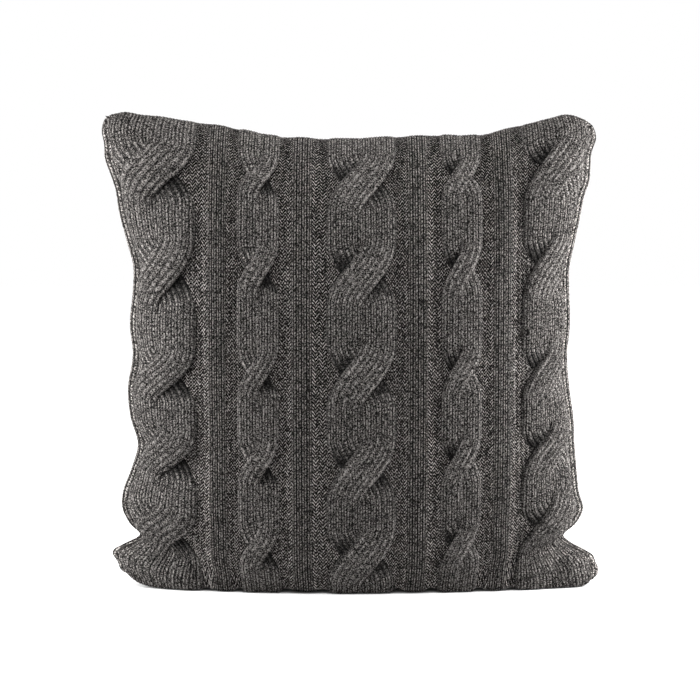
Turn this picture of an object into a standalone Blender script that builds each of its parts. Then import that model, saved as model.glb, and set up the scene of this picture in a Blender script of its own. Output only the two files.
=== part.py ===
"""A square throw cushion: a knitted cover with a zip in its bottom seam, round a fibre-filled insert pad.

Metres, +Z up. The cushion stands on its bottom edge with its front towards -Y. The origin is on the floor
under its middle. Every skin of the cushion is the same rounded square dome, set further in each time.
"""

import math

import bmesh
import bpy
from mathutils import Matrix, Vector

# Driving dimensions
HALF_WIDTH = 0.2260  # to the tips of the corner ears
TOP_HEIGHT = 0.4370  # tips of the top ears above the floor
HALF_DEPTH = 0.0695  # from the seam plane to the crown of one panel
SIDE_PULL = 0.0280  # how far each side pulls in between its corners
TOP_PULL = 0.0260  # how far the top edge dips between its corners
SAG = 0.25  # how much further down the dome would reach if the floor didn't stop it
FULLNESS = 0.80  # below 1 the dome is fuller than an ellipse
GRID = 20  # faces along each side of a dome

# Valley between the two bellies, where the bottom seam and the zip lie clear of the floor
VALLEY_HEIGHT = 0.0140
VALLEY_HALF_WIDTH = 0.0240
VALLEY_AT_EARS = 0.0050
VALLEY_STRAIGHT_TO = 0.1840
VALLEY_ENDS_AT = 0.2160

# Skins: (inset of the outline, inset of the crown, height of the underside, extra height over the zip)
COVER_WALL = 0.0050
COVER_OUTSIDE = (0.0, 0.0, 0.0, 0.0)
COVER_INSIDE = (0.0060, COVER_WALL, COVER_WALL, 0.0)
INSERT_OUTSIDE = (0.0072, 0.0056, 0.0080, 0.0015)
INSERT_INSIDE = (0.0086, 0.0066, 0.0090, 0.0015)
FILLING = (0.0100, 0.0072, 0.0096, 0.0015)

CLEARANCE = 0.0003
SEAM_YARN_RADIUS = 0.0008
SEAM_YARN_INSET = 0.0025
SEAM_STEPS = 26  # points of a seam thread along each side
INSERT_THREAD_RADIUS = 0.0003

# Zip, a number 3 coil chain
ZIP_SLOT_HALF_WIDTH = 0.0039
ZIP_SLOT_STRAIGHT_TO = 0.1600
ZIP_SLOT_ENDS_AT = 0.1820
ZIP_SLOT_FROM_UP = -0.93  # the panels part for the zip below this share of the half height
TAPE_HALF_LENGTH = 0.1700
TAPE_FROM, TAPE_TO = 0.00065, 0.0120
TAPE_THICKNESS = 0.0005
COIL_HALF_LENGTH = 0.1595
COIL_FROM, COIL_TO = 0.0006, 0.0024
COIL_LOW, COIL_HIGH = 0.0166, 0.0185
STOP_LENGTH = 0.0020
STOP_FROM, STOP_TO = 0.0005, 0.0027
STITCH_AT = 0.0080
STITCH_RADIUS = 0.0003

SLIDER_X = 0.1545
SLIDER_LENGTH = 0.0090
SLIDER_HALF_WIDTH = 0.0034
SLIDER_LOW = 0.0149
LOWER_PLATE = 0.0013
FLANGE_WIDTH = 0.0006
FLANGE_TOP = 0.0184
POST_HALF_WIDTH = 0.0003
UPPER_PLATE_LOW, UPPER_PLATE_HIGH = 0.0201, 0.0213
UPPER_PLATE_HALF_WIDTH = 0.0026

BRIDGE_HALF_LENGTH = 0.0031
BRIDGE_POST = 0.0010
BRIDGE_OPENING = 0.0016
BRIDGE_BAR = 0.0009
BRIDGE_HALF_WIDTH = 0.0009

PULL_LENGTH = 0.0190
PULL_HALF_WIDTH = 0.0022
PULL_THICKNESS = 0.0007
PULL_PIN_HALF = 0.0004
PULL_EYE_HALF_WIDTH = 0.0014
PULL_EYE_END = 0.0050
PULL_TIP_GAP = 0.0003

# Labels lie on the cover's inner face, beyond the zip tapes
LABEL_THICKNESS = 0.0003
LABEL_FROM, LABEL_TO = 0.0126, 0.0300
CARE_LABEL_X = (0.0900, 0.1250)
INSERT_LABEL_X = (-0.1200, -0.0850)
LABEL_LIFT = 0.0016


def clear_scene():
    for item in list(bpy.data.objects):
        bpy.data.objects.remove(item, do_unlink=True)


def collection(name):
    made = bpy.data.collections.new(name)
    bpy.context.scene.collection.children.link(made)
    return made


def finish_material(name, colour, roughness, metallic=0.0):
    made = bpy.data.materials.new(name)
    made.use_nodes = True
    shader = made.node_tree.nodes["Principled BSDF"]
    shader.inputs["Base Color"].default_value = (*colour, 1.0)
    shader.inputs["Roughness"].default_value = roughness
    shader.inputs["Metallic"].default_value = metallic
    made.diffuse_color = (*colour, 1.0)
    return made


def add_object(name, mesh, group, finish):
    made = bpy.data.objects.new(name, mesh)
    if finish:
        made.data.materials.append(finish)
    group.objects.link(made)
    return made


def to_mesh(shape, name):
    """The bmesh as a mesh with its faces pointing out."""
    bmesh.ops.recalc_face_normals(shape, faces=shape.faces)
    if shape.calc_volume(signed=True) < 0.0:
        bmesh.ops.reverse_faces(shape, faces=shape.faces)
    mesh = bpy.data.meshes.new(name)
    shape.to_mesh(mesh)
    shape.free()
    mesh.shade_smooth()
    mesh.set_sharp_from_angle(angle=math.radians(35))
    return mesh


def smoothstep(low, high, value):
    part = min(1.0, max(0.0, (value - low) / (high - low)))
    return part * part * (3.0 - 2.0 * part)


def valley(x, y):
    """Height that the underside gains over the bottom seam."""
    across = min(1.0, abs(y) / VALLEY_HALF_WIDTH)
    to_ear = smoothstep(VALLEY_STRAIGHT_TO, VALLEY_ENDS_AT, abs(x))
    top = VALLEY_HEIGHT + (VALLEY_AT_EARS - VALLEY_HEIGHT) * to_ear
    return top * (1.0 - across * across) ** 2


def half_gap(x, up, apart):
    """Half the gap between two panels at their rims: apart is its width at the seam and at the zip's slot."""
    along = 1.0 - smoothstep(ZIP_SLOT_STRAIGHT_TO, ZIP_SLOT_ENDS_AT, abs(x))
    near_edge = smoothstep(-ZIP_SLOT_FROM_UP, 1.0, -up)
    return apart[0] + (apart[1] - apart[0]) * along * near_edge


def skin_point(u, v, side, skin, apart=(0.0, 0.0)):
    """A point of a skin: u and v run from -1 to 1 across and up, side is -1 in front and 1 behind."""
    inset, crown_inset, underside, extra = skin
    across, up = math.sin(math.pi / 2 * u), math.sin(math.pi / 2 * v)
    swell = max(0.0, math.cos(math.pi / 2 * u) * math.cos(math.pi / 2 * v)) ** FULLNESS
    x = across * (HALF_WIDTH - inset - SIDE_PULL * (1.0 - up * up))
    gap = half_gap(x, up, apart)
    depth = (HALF_DEPTH - gap - crown_inset) * swell + gap
    middle = TOP_HEIGHT / 2
    if up >= 0.0:
        z = middle + up * (middle - inset - TOP_PULL * (1.0 - across * across))
    else:
        z = middle + up * (middle * (1.0 + SAG * (1.0 - across * across)) - inset)
    lift = valley(x, depth) * (1.0 + extra / VALLEY_HEIGHT)
    fade = 1.0 - smoothstep(0.0, VALLEY_HEIGHT * 3.0, z - underside)
    return Vector((x, side * depth, max(z, underside) + lift * fade))


def add_dome(shape, side, skin, apart):
    """Adds one side of a skin to the bmesh, as a grid, and gives back its points in the grid's order."""
    made = bmesh.ops.create_grid(shape, x_segments=GRID, y_segments=GRID, size=1.0)["verts"]
    for vert in made:
        vert.co = skin_point(vert.co.x, vert.co.y, side, skin, apart)
    return made


def join_rims(shape, first, second):
    """Closes the gap between two grids of the same order with a band of faces round their rims."""
    twin = dict(zip(first, second))
    edges = {edge for vert in first for edge in vert.link_edges}
    for edge in [edge for edge in edges if len(edge.link_faces) == 1]:
        a, b = edge.verts
        shape.faces.new((a, b, twin[b], twin[a]))


def panel_shell(name, side, outside, inside, apart, group, finish):
    """One panel, from its outer skin to its inner skin, closed by a flat rim at the seam."""
    shape = bmesh.new()
    outer = add_dome(shape, side, outside, apart)
    inner = add_dome(shape, side, inside, apart)
    join_rims(shape, outer, inner)
    return add_object(name, to_mesh(shape, name), group, finish)


def cushion_solid(name, skin, group, finish):
    """Both sides of a skin, joined at their rims."""
    shape = bmesh.new()
    for side in (-1, 1):
        add_dome(shape, side, skin, (0.0, 0.0))
    bmesh.ops.remove_doubles(shape, verts=shape.verts, dist=0.00001)
    return add_object(name, to_mesh(shape, name), group, finish)


def box_mesh(name, low, high):
    shape = bmesh.new()
    bmesh.ops.create_cube(shape, size=1.0)
    low, high = Vector(low), Vector(high)
    for vert in shape.verts:
        vert.co = Vector(a * b for a, b in zip(vert.co, high - low)) + (low + high) / 2
    return to_mesh(shape, name)


def sided(side, near, far):
    """The range from near to far on one side of the seam plane, low value first."""
    return sorted((side * near, side * far))


def rim_route(skin, steps, start=0.0, stop=1.0):
    """Points on the seam plane round a skin's outline, from the bottom right corner over the top."""
    corners = [(1, -1), (1, 1), (-1, 1), (-1, -1), (1, -1)]
    points = []
    for i in range(steps + 1):
        along = 4.0 * (start + (stop - start) * i / steps)
        leg = min(3, int(along))
        (u0, v0), (u1, v1) = corners[leg], corners[leg + 1]
        part = along - leg
        points.append(skin_point(u0 + (u1 - u0) * part, v0 + (v1 - v0) * part, 1, skin))
    return points


def tube(name, points, radius, group, finish, closed=False):
    curve = bpy.data.curves.new(name, "CURVE")
    curve.dimensions = "3D"
    curve.bevel_depth = radius
    curve.bevel_resolution = 1
    curve.use_fill_caps = not closed
    spline = curve.splines.new("POLY")
    spline.points.add(len(points) - 1)
    for spot, point in zip(spline.points, points):
        spot.co = (*point, 1.0)
    spline.use_cyclic_u = closed
    return add_object(name, curve, group, finish)


def flat_outline(name, outlines, thickness, place):
    """A plate with the given outline, and holes if more outlines follow, as a mesh at place."""
    curve = bpy.data.curves.new(name, "CURVE")
    curve.dimensions = "2D"
    curve.fill_mode = "BOTH"
    curve.extrude = thickness / 2
    for outline in outlines:
        spline = curve.splines.new("POLY")
        spline.points.add(len(outline) - 1)
        for spot, (x, y) in zip(spline.points, outline):
            spot.co = (x, y, 0.0, 1.0)
        spline.use_cyclic_u = True
    holder = bpy.data.objects.new(name, curve)
    bpy.context.scene.collection.objects.link(holder)
    evaluated = holder.evaluated_get(bpy.context.evaluated_depsgraph_get())
    mesh = bpy.data.meshes.new_from_object(evaluated)
    bpy.data.objects.remove(holder)
    bpy.data.curves.remove(curve)
    shape = bmesh.new()
    shape.from_mesh(mesh)
    bpy.data.meshes.remove(mesh)
    bmesh.ops.remove_doubles(shape, verts=shape.verts, dist=0.000001)
    bmesh.ops.transform(shape, matrix=place, verts=shape.verts)
    return to_mesh(shape, name)


def lining_strip(name, x_range, side, near, far, lift, thickness, group, finish):
    """A thin strip that follows the cover's inner face beside the zip."""
    shape = bmesh.new()
    faces = []
    for rise in (lift, lift + thickness):
        made = bmesh.ops.create_grid(shape, x_segments=1, y_segments=6, size=1.0)["verts"]
        for vert in made:
            x = x_range[0] + (x_range[1] - x_range[0]) * (vert.co.x + 1.0) / 2.0
            y = side * (near + (far - near) * (vert.co.y + 1.0) / 2.0)
            vert.co = Vector((x, y, COVER_WALL + valley(x, y) + rise))
        faces.append(made)
    join_rims(shape, *faces)
    return add_object(name, to_mesh(shape, name), group, finish)


def add_cover(parts, yarn):
    """The two knitted panels, which part for the zip along their bottom edges."""
    apart = (SEAM_YARN_RADIUS + CLEARANCE, ZIP_SLOT_HALF_WIDTH)
    for name, side in (("cover_front_panel", -1), ("cover_back_panel", 1)):
        panel_shell(name, side, COVER_OUTSIDE, COVER_INSIDE, apart, parts, yarn)
    rim = (SEAM_YARN_INSET, SEAM_YARN_INSET, SEAM_YARN_INSET, 0.0)
    route = rim_route(rim, SEAM_STEPS * 3, 0.0, 0.75)
    below = rim_route(rim, SEAM_STEPS, 0.75, 1.0)
    left_end = [p for p in below if p.x < -ZIP_SLOT_ENDS_AT]
    right_end = [p for p in below if p.x > ZIP_SLOT_ENDS_AT]
    around = thinned(right_end + route + left_end, SEAM_YARN_RADIUS * 2.5)
    tube("cover_seam_yarn", around, SEAM_YARN_RADIUS, parts, yarn)


def thinned(points, least):
    """The points without those closer than least to the one before."""
    kept = [points[0]]
    for point in points[1:]:
        if (point - kept[-1]).length > least:
            kept.append(point)
    return kept


def add_zip_chain(parts, woven, nylon, metal, thread):
    for name, side in (("front", -1), ("back", 1)):
        lining_strip(
            "zip_tape_" + name,
            (-TAPE_HALF_LENGTH, TAPE_HALF_LENGTH),
            side,
            TAPE_FROM,
            TAPE_TO,
            CLEARANCE,
            TAPE_THICKNESS,
            parts,
            woven,
        )
        y_low, y_high = sided(side, COIL_FROM, COIL_TO)
        coil = box_mesh(
            "zip_coil_" + name,
            (-COIL_HALF_LENGTH, y_low, COIL_LOW),
            (COIL_HALF_LENGTH, y_high, COIL_HIGH),
        )
        add_object("zip_coil_" + name, coil, parts, nylon)
        y_low, y_high = sided(side, STOP_FROM, STOP_TO)
        stop_start = COIL_HALF_LENGTH + CLEARANCE
        stop = box_mesh(
            "zip_top_stop_" + name,
            (stop_start, y_low, COIL_LOW),
            (stop_start + STOP_LENGTH, y_high, COIL_HIGH),
        )
        add_object("zip_top_stop_" + name, stop, parts, metal)
        height = COVER_WALL + valley(0.0, STITCH_AT) + TAPE_THICKNESS + STITCH_RADIUS + CLEARANCE * 4.0
        ends = [Vector((x, side * STITCH_AT, height)) for x in (-TAPE_HALF_LENGTH, TAPE_HALF_LENGTH)]
        tube("zip_stitch_" + name, ends, STITCH_RADIUS, parts, thread)
    bottom_stop = box_mesh(
        "zip_bottom_stop",
        (-stop_start - STOP_LENGTH, -STOP_TO, COIL_LOW),
        (-stop_start, STOP_TO, COIL_HIGH),
    )
    add_object("zip_bottom_stop", bottom_stop, parts, metal)


def mirrored_outline(half):
    """A closed outline from its points at y above 0, mirrored to y below 0."""
    return half + [(x, -y) for x, y in reversed(half)]


def slider_section():
    """Section across the zip: two plates joined by a thin post, the lower one with upturned flanges."""
    inner = SLIDER_HALF_WIDTH - FLANGE_WIDTH
    plate_top = SLIDER_LOW + LOWER_PLATE
    return mirrored_outline(
        [
            (SLIDER_LOW, SLIDER_HALF_WIDTH),
            (FLANGE_TOP, SLIDER_HALF_WIDTH),
            (FLANGE_TOP, inner),
            (plate_top, inner),
            (plate_top, POST_HALF_WIDTH),
            (UPPER_PLATE_LOW, POST_HALF_WIDTH),
            (UPPER_PLATE_LOW, UPPER_PLATE_HALF_WIDTH),
            (UPPER_PLATE_HIGH, UPPER_PLATE_HALF_WIDTH),
        ]
    )


def add_slider(parts, cutters, metal):
    """The slider body, with the bridge that the pull hangs on."""
    # the section is drawn with height first, then turned to stand across the zip
    across = Matrix(((0, 0, 1, SLIDER_X), (0, 1, 0, 0), (1, 0, 0, 0), (0, 0, 0, 1)))
    body = add_object(
        "zip_slider",
        flat_outline("zip_slider", [slider_section()], SLIDER_LENGTH, across),
        parts,
        metal,
    )
    inner = BRIDGE_HALF_LENGTH - BRIDGE_POST
    foot = SLIDER_LOW + LOWER_PLATE / 2
    opening_low = SLIDER_LOW - BRIDGE_OPENING
    bar_low = opening_low - BRIDGE_BAR
    bridge_outline = [
        (-BRIDGE_HALF_LENGTH, foot),
        (-BRIDGE_HALF_LENGTH, opening_low),
        (-inner, bar_low),
        (inner, bar_low),
        (BRIDGE_HALF_LENGTH, opening_low),
        (BRIDGE_HALF_LENGTH, foot),
        (inner, foot),
        (inner, opening_low),
        (-inner, opening_low),
        (-inner, foot),
    ]
    along = Matrix(((1, 0, 0, SLIDER_X), (0, 0, 1, 0), (0, 1, 0, 0), (0, 0, 0, 1)))
    bridge = add_object(
        "slider_bridge",
        flat_outline("slider_bridge", [bridge_outline], BRIDGE_HALF_WIDTH * 2.0, along),
        cutters,
        None,
    )
    bridge.hide_render = True
    bridge.display_type = "WIRE"
    join = body.modifiers.new("bridge", "BOOLEAN")
    join.operation = "UNION"
    join.object = bridge


def add_pull(parts, metal):
    """The pull tab, hanging from the bridge with its tip just above the floor."""
    pivot_height = SLIDER_LOW - BRIDGE_OPENING / 2
    drop = (pivot_height - PULL_TIP_GAP - PULL_THICKNESS / 2) / PULL_LENGTH
    chamfer = PULL_HALF_WIDTH / 2
    outer = mirrored_outline(
        [
            (PULL_PIN_HALF, PULL_HALF_WIDTH - chamfer / 2),
            (PULL_PIN_HALF - chamfer / 2, PULL_HALF_WIDTH),
            (chamfer - PULL_LENGTH, PULL_HALF_WIDTH),
            (-PULL_LENGTH, PULL_HALF_WIDTH - chamfer),
        ]
    )
    eye = mirrored_outline([(-PULL_PIN_HALF, PULL_EYE_HALF_WIDTH), (-PULL_EYE_END, PULL_EYE_HALF_WIDTH)])
    mesh = flat_outline("zip_pull", [outer, eye], PULL_THICKNESS, Matrix.Identity(4))
    pull = add_object("zip_pull", mesh, parts, metal)
    pull.location = (SLIDER_X, 0.0, pivot_height)
    pull.rotation_euler = (0.0, -math.asin(drop), 0.0)


def add_insert(parts, ticking, thread, fibre):
    gap = INSERT_THREAD_RADIUS + CLEARANCE
    for name, side in (("insert_front_panel", -1), ("insert_back_panel", 1)):
        panel_shell(name, side, INSERT_OUTSIDE, INSERT_INSIDE, (gap, gap), parts, ticking)
    middle = tuple((a + b) / 2 for a, b in zip(INSERT_OUTSIDE, INSERT_INSIDE))
    route = thinned(rim_route(middle, SEAM_STEPS * 4)[:-1], INSERT_THREAD_RADIUS * 4.0)
    tube("insert_seam_thread", route, INSERT_THREAD_RADIUS, parts, thread, closed=True)
    cushion_solid("fibre_filling", FILLING, parts, fibre)


def add_labels(parts, satin):
    """Two blank labels between the cover and the insert, beside the zip."""
    for name, x_range, side in (("care_label", CARE_LABEL_X, 1), ("insert_label", INSERT_LABEL_X, -1)):
        lining_strip(
            name, x_range, side, LABEL_FROM, LABEL_TO, LABEL_LIFT, LABEL_THICKNESS, parts, satin
        )


def main():
    clear_scene()
    parts = collection("throw_pillow")
    cutters = collection("cutters")
    yarn = finish_material("charcoal knit", (0.085, 0.078, 0.072), 0.95)
    woven = finish_material("zip tape", (0.045, 0.043, 0.042), 0.85)
    nylon = finish_material("zip coil", (0.040, 0.038, 0.037), 0.45)
    metal = finish_material("zip metal", (0.30, 0.29, 0.28), 0.35, 1.0)
    thread = finish_material("sewing thread", (0.06, 0.058, 0.055), 0.7)
    ticking = finish_material("white ticking", (0.78, 0.77, 0.74), 0.9)
    fibre = finish_material("polyester fibre", (0.88, 0.88, 0.87), 1.0)
    satin = finish_material("satin label", (0.85, 0.85, 0.83), 0.5)
    add_cover(parts, yarn)
    add_zip_chain(parts, woven, nylon, metal, thread)
    add_slider(parts, cutters, metal)
    add_pull(parts, metal)
    add_insert(parts, ticking, thread, fibre)
    add_labels(parts, satin)


main()
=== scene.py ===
"""Looks of a cable-knit throw cushion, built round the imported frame.

The knitted panels are one lattice of wales (columns of stitches) and rows, laid over the cushion's
macro shape. Every distance is in metres.
"""

import math

import bmesh
import bpy
import numpy as np
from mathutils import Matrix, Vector


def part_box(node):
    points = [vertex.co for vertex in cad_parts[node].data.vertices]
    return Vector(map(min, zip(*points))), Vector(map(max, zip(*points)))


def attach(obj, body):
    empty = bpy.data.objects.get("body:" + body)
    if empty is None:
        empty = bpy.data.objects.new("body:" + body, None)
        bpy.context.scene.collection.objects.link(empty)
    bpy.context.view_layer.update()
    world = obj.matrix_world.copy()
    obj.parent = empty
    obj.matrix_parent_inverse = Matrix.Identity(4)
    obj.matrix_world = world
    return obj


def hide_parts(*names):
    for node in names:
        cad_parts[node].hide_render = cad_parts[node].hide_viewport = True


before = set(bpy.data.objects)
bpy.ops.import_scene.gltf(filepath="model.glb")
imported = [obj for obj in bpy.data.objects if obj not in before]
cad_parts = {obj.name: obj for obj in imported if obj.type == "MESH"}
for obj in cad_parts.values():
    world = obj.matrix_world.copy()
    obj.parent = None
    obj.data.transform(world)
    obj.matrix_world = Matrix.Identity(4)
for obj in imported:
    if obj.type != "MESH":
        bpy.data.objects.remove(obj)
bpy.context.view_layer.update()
scene = bpy.context.scene

# ---- the cushion's dimensions, from the frame
FRONT_LOW, FRONT_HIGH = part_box("cover_front_panel")
BACK_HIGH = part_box("cover_back_panel")[1]
HALF_WIDTH = FRONT_HIGH[0]
TOP = FRONT_HIGH[2]
MIDDLE = TOP / 2
FRONT_DEPTH = -FRONT_LOW[1]
BACK_DEPTH = BACK_HIGH[1]

# Half widths of the standing cushion (share of its height, share of the half width), from the floor up
UPPER_HEIGHTS = (0.105, 0.13, 0.16, 0.2, 0.245, 0.3, 0.36, 0.42, 0.49, 0.56, 0.62, 0.68, 0.74, 0.8,
                 0.845, 0.88, 0.91, 0.94, 0.97, 1)
LEFT_EDGE = ((0, 0.86), (0.02, 0.923), (0.045, 0.939), (0.06, 0.955), (0.078, 0.949), (0.092, 0.887),
             *zip(UPPER_HEIGHTS, (
                  0.841, 0.878, 0.909, 0.907, 0.874, 0.842, 0.872, 0.881, 0.86, 0.871, 0.859, 0.855,
                  0.884, 0.914, 0.928, 0.95, 0.971, 0.975, 0.987, 0.982)))
RIGHT_EDGE = ((0, 0.985), (0.02, 1), (0.045, 0.98), (0.068, 0.959), (0.085, 0.892),
             *zip(UPPER_HEIGHTS, (
                  0.841, 0.89, 0.922, 0.905, 0.895, 0.885, 0.878, 0.861, 0.85, 0.86, 0.857, 0.855,
                  0.876, 0.899, 0.915, 0.937, 0.941, 0.946, 0.966, 0.964)))
# Height of the top edge (share of the half width across, share of the height)
TOP_EDGE = ((-1, 0.992), (-0.93, 1), (-0.86, 0.994), (-0.8, 0.992), (-0.7, 0.983), (-0.6, 0.978),
            (-0.48, 0.968), (-0.34, 0.952), (-0.2, 0.948), (0, 0.944), (0.2, 0.95), (0.34, 0.953),
            (0.5, 0.951), (0.6, 0.959), (0.68, 0.971), (0.75, 0.976), (0.82, 0.986), (0.9, 0.994),
            (0.95, 0.988), (1, 0.972))
SAG = 0.25  # how far the lower half would hang past the floor, which then flattens the foot
FULLNESS = 0.78  # power of the profile: lower is fuller towards the seams
SEAM_FORWARD = 0.0070  # the side seams lie this far in front of the middle
TOP_SEAM_BACK = 0.0060
EDGE_ROLL = 0.0085  # the back panel's roll stands out past the side seam
ROLL_AT = 0.14  # share of the swell at which the roll is widest
FRONT_ROLL = 0.05  # the front panel rolls less, so the seam shows
VALLEY_HEIGHT = 0.0140
VALLEY_HALF_WIDTH = 0.0240
VALLEY_AT_EARS = 0.0050
VALLEY_STRAIGHT_TO = 0.1840
VALLEY_ENDS_AT = 0.2160
SLOT_HALF_WIDTH = 0.0038  # the panels part this far for the zip
SLOT_STRAIGHT_TO = 0.1600
SLOT_ENDS_AT = 0.1820
SLOT_FROM_UP = 0.93

# ---- knitting gauge
ROWS = 148
ROW_SAMPLES = 3
WALE_SAMPLES = 4
LEG_SLANT = 1.1  # rows that a stitch's leg climbs from the middle of its wale to its edge
PURL_WAVE = 0.60
WIDE_CABLE, NARROW_CABLE, RIB, GUTTER = 14, 8, 4, 2
BANDS = (
    WIDE_CABLE, GUTTER, RIB, GUTTER, NARROW_CABLE, GUTTER, RIB, GUTTER,
    WIDE_CABLE, GUTTER, RIB, GUTTER, NARROW_CABLE, GUTTER, RIB, GUTTER, WIDE_CABLE,
)
BAND_WIDTHS = (
    0.0680, 0.0107, 0.0174, 0.0090, 0.0382, 0.0108, 0.0187, 0.0124,
    0.0632, 0.0094, 0.0186, 0.0116, 0.0372, 0.0098, 0.0176, 0.0096, 0.0640,
)  # in metres, at half height
BANDS_ASIDE = 0.0054  # the middle cable lies this far to the right of the middle
CROSSING_HEIGHTS = (0.849, 0.661, 0.455, 0.261, 0.076)  # shares of the cushion's height
CROSSING_SHIFT = (-0.012, 0.004, 0.0, 0.006, -0.004)  # of each cable, left to right
CROSSING_REACH = {WIDE_CABLE: 8.8, NARROW_CABLE: 7.0}  # rows over which a strand crosses, each way
CROSSING_TURN = 0.35  # share by which rows of stitches turn with a crossing strand
CROSSING_SPREAD = 0.04
STRAND_SHARE = 0.53  # of its cable's width
STRAND_AT = 1 - STRAND_SHARE + 0.02  # place of a strand's middle, as a share of its cable's half width
TUCKED = ((0.3, 1.0), (0.35, 1.0), (0.9, 0.9), (1.0, 0.35), (1.0, 0.3))  # before and after, of each cable
DRAWN_IN = 0.060  # bands draw together towards the foot
DRAWN_FROM = 0.84

STITCH_RELIEF = 0.0008
FURROW = 0.30  # extra depth between the legs of a stitch, as a share of the stitch's relief
# Painted light and shade: how open to the light each part of a stitch is drawn, which darkens the yarn's
# colour
FURROW_LIGHT = 0.25
ROW_GAP_LIGHT = 0.52
BEAD_LIGHT = (0.0, 1.12, 0.22)  # up one purl row
ROW_RELIEF = 0.0004
BEAD_RELIEF = 0.0008
RIB_HEIGHT = 0.0014
RIB_SHADE = 0.79
GUTTER_SHADE = 0.85
RIB_EDGE_SHINE = 0.12
CABLE_SHADE = 0.73
PAINTED_CABLE_FURROW_EASE = 0.22  # painted shade: the furrows between a cable's wales are painted less dark than a rib's
GUTTER_DEPTH = 0.0018
CABLE_HEIGHT = 0.0020
STRAND_CROWN = 0.0006
OVER_HEIGHT = 0.0017
UNDER_DROP = 0.0030
EDGE_DROP = 0.0036
INNER_ROLL = 0.08  # share of that drop at a strand's inner edge, between crossings
CABLE_RELIEF = 0.75  # share of a rib's stitch relief
OVER_LIGHT, OVER_EVEN = 0.55, 0.45  # painted light on an upper strand: how light it is drawn, and how evenly
EDGE_SHADE, UNDER_SHADE = 0.6, 0.70  # how much darker a strand is at its edges, and under its partner
UNDERCUT = 0.16
UNDERCUT_FROM = 0.84
RELIEF_FADE = 0.0160  # the relief flattens over this distance from a seam
RIM_RELIEF = 0.2  # share of the relief that's left at a seam
RELIEF_TOP = 0.0045
FLATTENED = 0.15  # share of the relief that's left where the foot presses on the floor
FLOOR_CLEAR = 0.0001
SEAM_DIP = 0.0026
SEAM_DIP_WIDTH = 0.0050
# Creases of the front panel: two ends (x, z), depth and width
CREASES = (
    ((-0.1506, 0.0365), (-0.1342, 0.0055), 0.0032, 0.0050),
    ((0.2020, 0.0430), (0.1790, 0.0030), 0.0034, 0.0060),
    ((-0.2120, 0.0330), (-0.1900, 0.0080), 0.0024, 0.0060),
)
CREASE_ENDS = 0.4  # share of its depth that a crease has at its ends

PIECE_OFFSET = 53.0  # keeps the wale numbers of neighbouring pieces apart
TWIST_ACROSS, TWIST_UP = 9.0, 3.2  # turns of the yarn's plies over one wale, and over one row
SHADE_POWER, SHADE = 1.9, 1.80  # from how open a point is to how much of the yarn's colour it shows

# Zip, threads, insert and labels
TAPE_HALF_LENGTH = 0.1700
TAPE_FROM, TAPE_TO = 0.0008, 0.0119
TAPE_FLOOR = 0.0053  # of the tape's under face, below the valley's height
TAPE_THICKNESS = 0.0005
STITCH_ROW_AT = 0.0080
STITCH_PITCH = 0.0027
THREAD_RADIUS = 0.00022
COIL_HALF_LENGTH = 0.1590
COIL_PITCH = 0.00125
COIL_WIRE = 0.00022
COIL_MIDDLE = (0.00120, 0.01755)  # distance from the seam plane, height
COIL_REACH = (0.00118, 0.00070)
STOPS_AT = 0.1608
SLIDER_X = 0.1545
PIVOT_HEIGHT = 0.0141
CORD_STEP, CORD_TWIST, CORD_PLY_AT, CORD_PLY = 0.0011, 0.0042, 0.00038, 0.00042
INSERT_SHARES = np.array((0.962, 0.875, 0.958))
FILLING_SHARES = np.array((0.946, 0.845, 0.941))
INSERT_CLEAR, FILLING_CLEAR = 0.0080, 0.0098
PAD_ROOM = 0.75  # of that clearance, kept at the sides
PAD_VALLEY = 1.15  # the pad's hollow over the zip, as a share of the cover's
LABEL_FLOOR = 0.0067
LABEL_THICKNESS = 0.0003

CAMERA_AZIMUTH = 0.0
CAMERA_ELEVATION = 4.5
CAMERA_DISTANCE = 1.796
CAMERA_AIM = Vector((-0.0012, 0.0, 0.219))

CAMERA_LENS = 100  # in mm
# Place, size and power in watts
SOFTBOXES = {
    "left": ((-1.25, -0.04, 0.55), (0.7, 1.1), 50),
    "right": ((1.25, -0.04, 0.55), (0.7, 1.1), 64),
    "top": ((0, -0.50, 1.7), (1.4, 1.0), 40),
}
AMBIENT = 0.13
PAPER = 0.62  # shade of the floor's paper
FLOOR_GLOW = 0.92
CONTACT_REACH, CONTACT_POWER = 0.200, 1.3  # of the painted shadow where the cushion meets the floor, which dims the floor's glow

TABLE = 361  # samples each way of the macro shape
CAGE = 56  # faces each way of the cloth cage, per side
CLOTH_CAP = 0.0070  # the furthest that the cloth may move
CLOTH_SINK = 0.0015  # and the furthest inwards
SLACK = 0.94  # the cage starts flatter than the filled cushion
PRESSURE, TENSION, BENDING = 4.0, 12.0, 0.4
CLOTH_FRAMES = 20


# ---- small helpers
def curve(points, x):
    """A smooth curve through a few (x, y) points, flat past its ends."""
    px, py = np.array(points, float).T
    slope = np.gradient(py, px)
    x = np.clip(x, px[0], px[-1])
    i = np.clip(np.searchsorted(px, x) - 1, 0, len(px) - 2)
    width = px[i + 1] - px[i]
    t = (x - px[i]) / width
    a, b = 2 * t**3 - 3 * t**2 + 1, t**3 - 2 * t**2 + t
    return a * py[i] + b * width * slope[i] + (1 - a) * py[i + 1] + (t**3 - t**2) * width * slope[i + 1]


def ease(low, high, x):
    t = np.clip((x - low) / (high - low), 0.0, 1.0)
    return t * t * (3.0 - 2.0 * t)


def valley(x, y):
    """Height that the underside gains over the bottom seam."""
    across = np.minimum(1.0, np.abs(y) / VALLEY_HALF_WIDTH)
    to_ear = ease(VALLEY_STRAIGHT_TO, VALLEY_ENDS_AT, np.abs(x))
    return (VALLEY_HEIGHT + (VALLEY_AT_EARS - VALLEY_HEIGHT) * to_ear) * (1.0 - across**2) ** 2


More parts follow.
